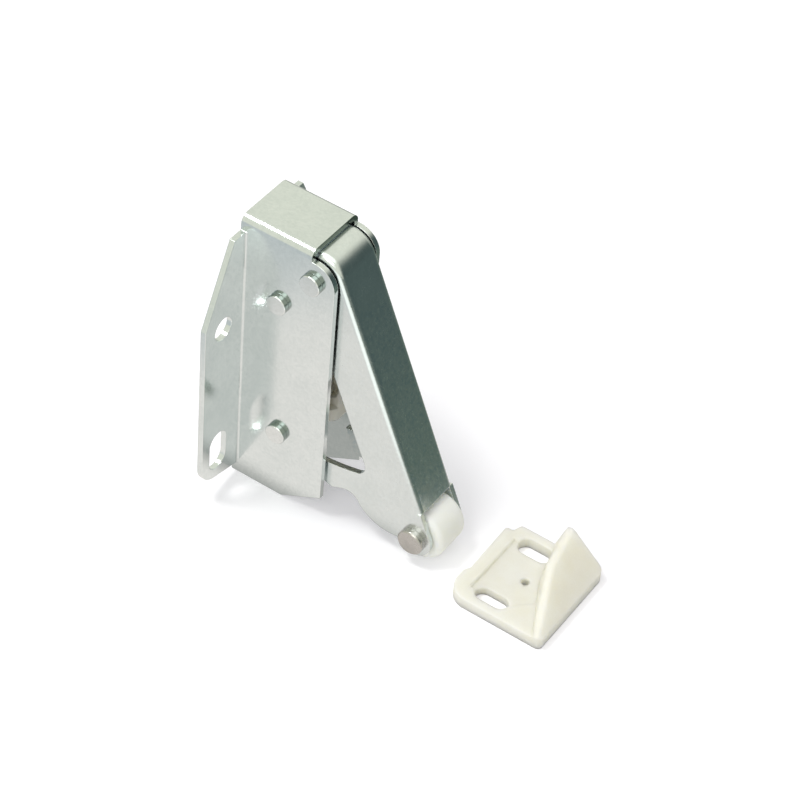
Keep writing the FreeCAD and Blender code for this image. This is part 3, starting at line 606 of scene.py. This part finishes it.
def painted_reflection_tones(surface):
    """The floor's colour for rays that come from metal: a painted reflection, with a painted shadow under the
    part and a painted highlight in front.
    """
    onward = surface.along(WEB_MIRRORS)
    x, y = surface.axis("X"), surface.axis("Y")
    # Painted shadow: mirrored rays see the floor darker under the part.
    under = (HALF_WIDTH - y.size()).ramp(*SIDE_SOFTNESS) * (FRONT - x).ramp(*FRONT_SOFTNESS)
    # Painted highlight: a patch in front glows brighter than white for mirrored rays.
    painted_highlight = (-y).ramp(*HIGHLIGHT_PATCH_NEAR) * x.ramp(*HIGHLIGHT_PATCH_SIDE)
    sheet = (-y - x).ramp(*LEFT_FADE).blend(SHEET, LEFT_SHEET)
    sheet = painted_highlight.blend(sheet, PAINTED_HIGHLIGHT_TONE)
    sheet = (under * PAINTED_SHADOW_SHARE).blend(sheet, PAINTED_SHADOW_TONE)
    room = onward.ramp(*ROOM_DEPTH).blend(ROOM, DEEP_ROOM)
    return onward.ramp(*SHEET_END).blend(sheet, room)


print("mirrored tones ready")

# %% Floor
FLOOR_HALF = 3.0
FLOOR_GAP = 0.00005
FLOOR_COLOUR = (0.94, 0.94, 0.94)
SEEN_COLOUR = (0.80, 0.80, 0.80)
NO_GLOW = (0.0, 0.0, 0.0)
NEAR_GLOW = (0.280, 0.277, 0.300)
FAR_GLOW = (0.62, 0.62, 0.62)
LAMP_REACH = (0.12, 0.50)


def floor_material():
    surface = Surface("floor_white", {"Roughness": 0.9, "Specular IOR Level": 0.0, "Emission Strength": 1.0})
    seen = surface.field("ShaderNodeLightPath", output="Is Camera Ray")
    glossy = surface.field("ShaderNodeLightPath", output="Is Glossy Ray")
    distance = surface.field("ShaderNodeVectorMath", {0: surface.place}, "Value", operation="LENGTH")
    far = distance.ramp(*LAMP_REACH)
    surface.set("Base Color", seen.blend(FLOOR_COLOUR, SEEN_COLOUR))
    surface.set("Emission Color", seen.blend(NO_GLOW, far.blend(NEAR_GLOW, FAR_GLOW)))
    mirrored = surface.field("ShaderNodeEmission", {"Color": painted_reflection_tones(surface), "Strength": 1.0})
    plain = Field(surface, surface.shader.outputs[0])
    both = surface.field("ShaderNodeMixShader", {0: glossy, 1: plain, 2: mirrored})
    surface.feed(surface.output.inputs["Surface"], both)
    return surface.material


mesh = bpy.data.meshes.new("floor")
build = bmesh.new()
bmesh.ops.create_grid(build, x_segments=1, y_segments=1, size=FLOOR_HALF)
bmesh.ops.translate(build, verts=build.verts, vec=(0.0, 0.0, cad_low.z - FLOOR_GAP))
build.to_mesh(mesh)
build.free()
floor = bpy.data.objects.new("floor", mesh)
bpy.context.scene.collection.objects.link(floor)
floor.data.materials.append(floor_material())
floor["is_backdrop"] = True
print("floor made")

# %% [markdown]
# ## Lamps
# The photograph has soft shadows that fall to the right of the part. A sun lamp would draw them hard, and a
# very large lamp would lose them. So a small square lamp hangs high on the left, and two larger and weaker
# ones, in front and above, fill in the rest. Sizes are in metres and powers in watts.

# %% Lamps
CENTRE = Vector((0.025, 0.0, -0.01))


def panel(name, place, size, power):
    """A square soft lamp that faces the part."""
    data = bpy.data.lights.new(name, "AREA")
    data.shape = "SQUARE"
    data.size = size
    data.energy = power
    lamp = bpy.data.objects.new(name, data)
    lamp.location = place
    lamp.rotation_mode = "QUATERNION"
    lamp.rotation_quaternion = (CENTRE - Vector(place)).to_track_quat("-Z", "Y")
    bpy.context.scene.collection.objects.link(lamp)


panel("key", (-0.28, -0.18, 0.68), 0.20, 2.4)
panel("fill", (0.10, -0.60, 0.55), 0.45, 1.2)
panel("top", (0.12, 0.02, 0.80), 0.60, 0.9)
print("lamps made")

# %% [markdown]
# ## Room
# Bare metal shows what stands round it, so an empty world would leave it black. To mirrored rays the room is
# even and bright, but dark towards the right of the part, where the arm's web mirrors it. All other rays see
# a plain white room that fills the shadows. The darkness grows with the cosine of the angle to its middle.

# %% Room
DARK_SIDE = Vector((0.90, 0.43, -0.05)).normalized()
DARK_COSINE = (0.51, 0.88)
BRIGHT_ROOM = (0.90, 0.905, 0.78)
DARK_ROOM = (0.07, 0.10, 0.095)
PLAIN_ROOM = (1.0, 0.99, 0.97)
MIRRORED_STRENGTH = 0.99
PLAIN_STRENGTH = 0.53

world = bpy.data.worlds.new("studio")
world.use_nodes = True
studio = Graph(world.node_tree, "Generated")
tones = studio.along(DARK_SIDE).ramp(*DARK_COSINE).blend(BRIGHT_ROOM, DARK_ROOM)
mirrored = studio.field("ShaderNodeBackground", {"Color": tones, "Strength": MIRRORED_STRENGTH})
plain = studio.field("ShaderNodeBackground", {"Color": PLAIN_ROOM, "Strength": PLAIN_STRENGTH})
glossy = studio.field("ShaderNodeLightPath", output="Is Glossy Ray")
both = studio.field("ShaderNodeMixShader", {0: glossy, 1: plain, 2: mirrored})
studio.node("ShaderNodeOutputWorld", {"Surface": both})
bpy.context.scene.world = world
bpy.context.scene.view_settings.view_transform = "Standard"
print("room made")

# %% [markdown]
# ## Size of the finished model
# The box of the finished model is measured in the same way as the box of the CAD part.

# %% Measure the finished model's box
low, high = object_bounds()
